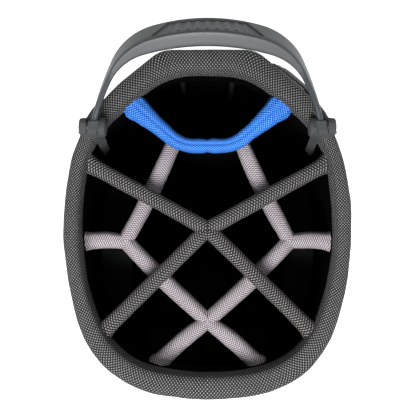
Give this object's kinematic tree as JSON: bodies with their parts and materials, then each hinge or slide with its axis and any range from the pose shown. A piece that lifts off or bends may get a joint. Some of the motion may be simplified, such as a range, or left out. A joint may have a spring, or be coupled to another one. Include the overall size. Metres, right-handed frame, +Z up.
{
  "type": "golf cart bag",
  "caption": "Free-standing golf cart bag with a padded oval divider top, tilting carrying handle, zipped pockets, shoulder strap and moulded base.",
  "frame": {"origin": "centre of the underside of the rubber sole, on the ground", "axes": "+Z up along the bag, +Y towards the back of the bag and its carrying handle, -Y towards the front pockets, +X towards the bag's right seen from above with the handle away from the viewer"},
  "size_m": [0.3366, 0.4172, 0.9657],
  "materials": {
    "charcoal_mesh": "open knitted mesh over foam",
    "grey_mesh": "open knitted mesh over foam",
    "blue_fabric": "plain weave over foam",
    "black_plastic": "satin moulded",
    "handle_rubber": "matte moulded",
    "grey_webbing": "woven webbing",
    "charcoal_fabric": "coated woven fabric",
    "pocket_fabric": "coated woven fabric",
    "black_lining": "plain woven lining",
    "black_rubber": "matte moulded",
    "stay_alloy": "black anodised",
    "black_webbing": "woven tape",
    "gunmetal": "satin coated",
    "pull_plastic": "moulded",
    "strap_mesh": "open knitted mesh over foam"
  },
  "bodies": {
    "bag": {"base_cup": "black_plastic", "base_sole": "black_rubber", "body_shell": "charcoal_fabric", "cross_sleeve_back_left": "charcoal_mesh", "cross_sleeve_back_right": "charcoal_mesh", "cross_sleeve_front_left": "charcoal_mesh", "cross_sleeve_front_right": "charcoal_mesh", "divider_cross": "black_lining", "divider_front": "black_lining", "divider_link_left": "black_lining", "divider_link_right": "black_lining", "divider_putter": "black_lining", "divider_side_left": "black_lining", "divider_side_right": "black_lining", "front_lower_pocket": "pocket_fabric", "front_lower_pocket_zip": "black_webbing", "front_upper_pocket": "pocket_fabric", "front_upper_pocket_zip": "black_webbing", "grey_sleeve_front_left": "grey_mesh", "grey_sleeve_front_right": "grey_mesh", "grey_sleeve_inner_left": "grey_mesh", "grey_sleeve_inner_right": "grey_mesh", "grey_sleeve_putter_left": "grey_mesh", "grey_sleeve_putter_right": "grey_mesh", "grey_sleeve_side_left": "grey_mesh", "grey_sleeve_side_right": "grey_mesh", "handle_loop_left": "grey_webbing", "handle_loop_right": "grey_webbing", "lower_grab_handle": "black_rubber", "putter_yoke_sleeve": "blue_fabric", "rim_pad": "charcoal_mesh", "side_pocket_left": "pocket_fabric", "side_pocket_left_zip": "black_webbing", "side_pocket_right": "pocket_fabric", "side_pocket_right_zip": "black_webbing", "stay_back_left": "stay_alloy", "stay_back_right": "stay_alloy", "stay_front": "stay_alloy", "strap_mount_bottom": "gunmetal", "strap_mount_top": "gunmetal", "top_frame": "black_plastic", "towel_tab": "black_webbing"},
    "handle": {"carrying_handle": "handle_rubber", "handle_boot_left": "grey_webbing", "handle_boot_right": "grey_webbing"},
    "shoulder_strap": {"strap_swivel_top": "gunmetal", "strap_swivel_bottom": "gunmetal", "strap_webbing": "black_webbing", "strap_pad": "strap_mesh", "strap_adjuster": "black_plastic"},
    "towel_ring": {"towel_ring": "gunmetal"},
    "front_lower_pocket_slider": {"front_lower_pocket_slider": "gunmetal"},
    "front_lower_pocket_pull": {"front_lower_pocket_pull": "pull_plastic"},
    "front_upper_pocket_slider": {"front_upper_pocket_slider": "gunmetal"},
    "front_upper_pocket_pull": {"front_upper_pocket_pull": "pull_plastic"},
    "side_pocket_left_slider": {"side_pocket_left_slider": "gunmetal"},
    "side_pocket_left_pull": {"side_pocket_left_pull": "pull_plastic"},
    "side_pocket_right_slider": {"side_pocket_right_slider": "gunmetal"},
    "side_pocket_right_pull": {"side_pocket_right_pull": "pull_plastic"}
  },
  "joints": [
    {"name": "handle_tilt", "type": "hinge", "parent": "bag", "child": "handle", "pos_m": [0, 0.07827, 0.89582], "axis": [1, 0, 0], "range_deg": [-22, 135]},
    {"name": "strap_swing", "type": "hinge", "parent": "bag", "child": "shoulder_strap", "pos_m": [0.07053, 0.14388, 0.541], "axis": [0, 0, 1], "range_deg": [-44, 44]},
    {"name": "towel_ring_lift", "type": "hinge", "parent": "bag", "child": "towel_ring", "pos_m": [-0.06166, 0.13331, 0.752], "axis": [0.766, 0.6428, 0], "range_deg": [-5, 120]},
    {"name": "front_lower_pocket_zip_slide", "type": "slide", "parent": "bag", "child": "front_lower_pocket_slider", "axis": [1, 0, 0], "range_m": [0, 0.072]},
    {"name": "front_lower_pocket_pull_flip", "type": "hinge", "parent": "front_lower_pocket_slider", "child": "front_lower_pocket_pull", "pos_m": [-0.0365, -0.20263, 0.29838], "axis": [0, -0.0476, -0.9989], "range_deg": [0, 180]},
    {"name": "front_upper_pocket_zip_slide", "type": "slide", "parent": "bag", "child": "front_upper_pocket_slider", "axis": [1, 0, 0], "range_m": [0, 0.072]},
    {"name": "front_upper_pocket_pull_flip", "type": "hinge", "parent": "front_upper_pocket_slider", "child": "front_upper_pocket_pull", "pos_m": [-0.0365, -0.18592, 0.55849], "axis": [0, -0.0599, -0.9982], "range_deg": [0, 180]},
    {"name": "side_pocket_right_zip_slide", "type": "slide", "parent": "bag", "child": "side_pocket_right_slider", "axis": [0.0375, 0, -0.9993], "range_m": [0, 0.458]},
    {"name": "side_pocket_right_pull_flip", "type": "hinge", "parent": "side_pocket_right_slider", "child": "side_pocket_right_pull", "pos_m": [0.15598, -0.027, 0.63681], "axis": [0, -1, 0], "range_deg": [0, 180]},
    {"name": "side_pocket_left_zip_slide", "type": "slide", "parent": "bag", "child": "side_pocket_left_slider", "axis": [-0.0375, 0, -0.9993], "range_m": [0, 0.458]},
    {"name": "side_pocket_left_pull_flip", "type": "hinge", "parent": "side_pocket_left_slider", "child": "side_pocket_left_pull", "pos_m": [-0.15598, -0.027, 0.63681], "axis": [0, 1, 0], "range_deg": [0, 180]}
  ]
}
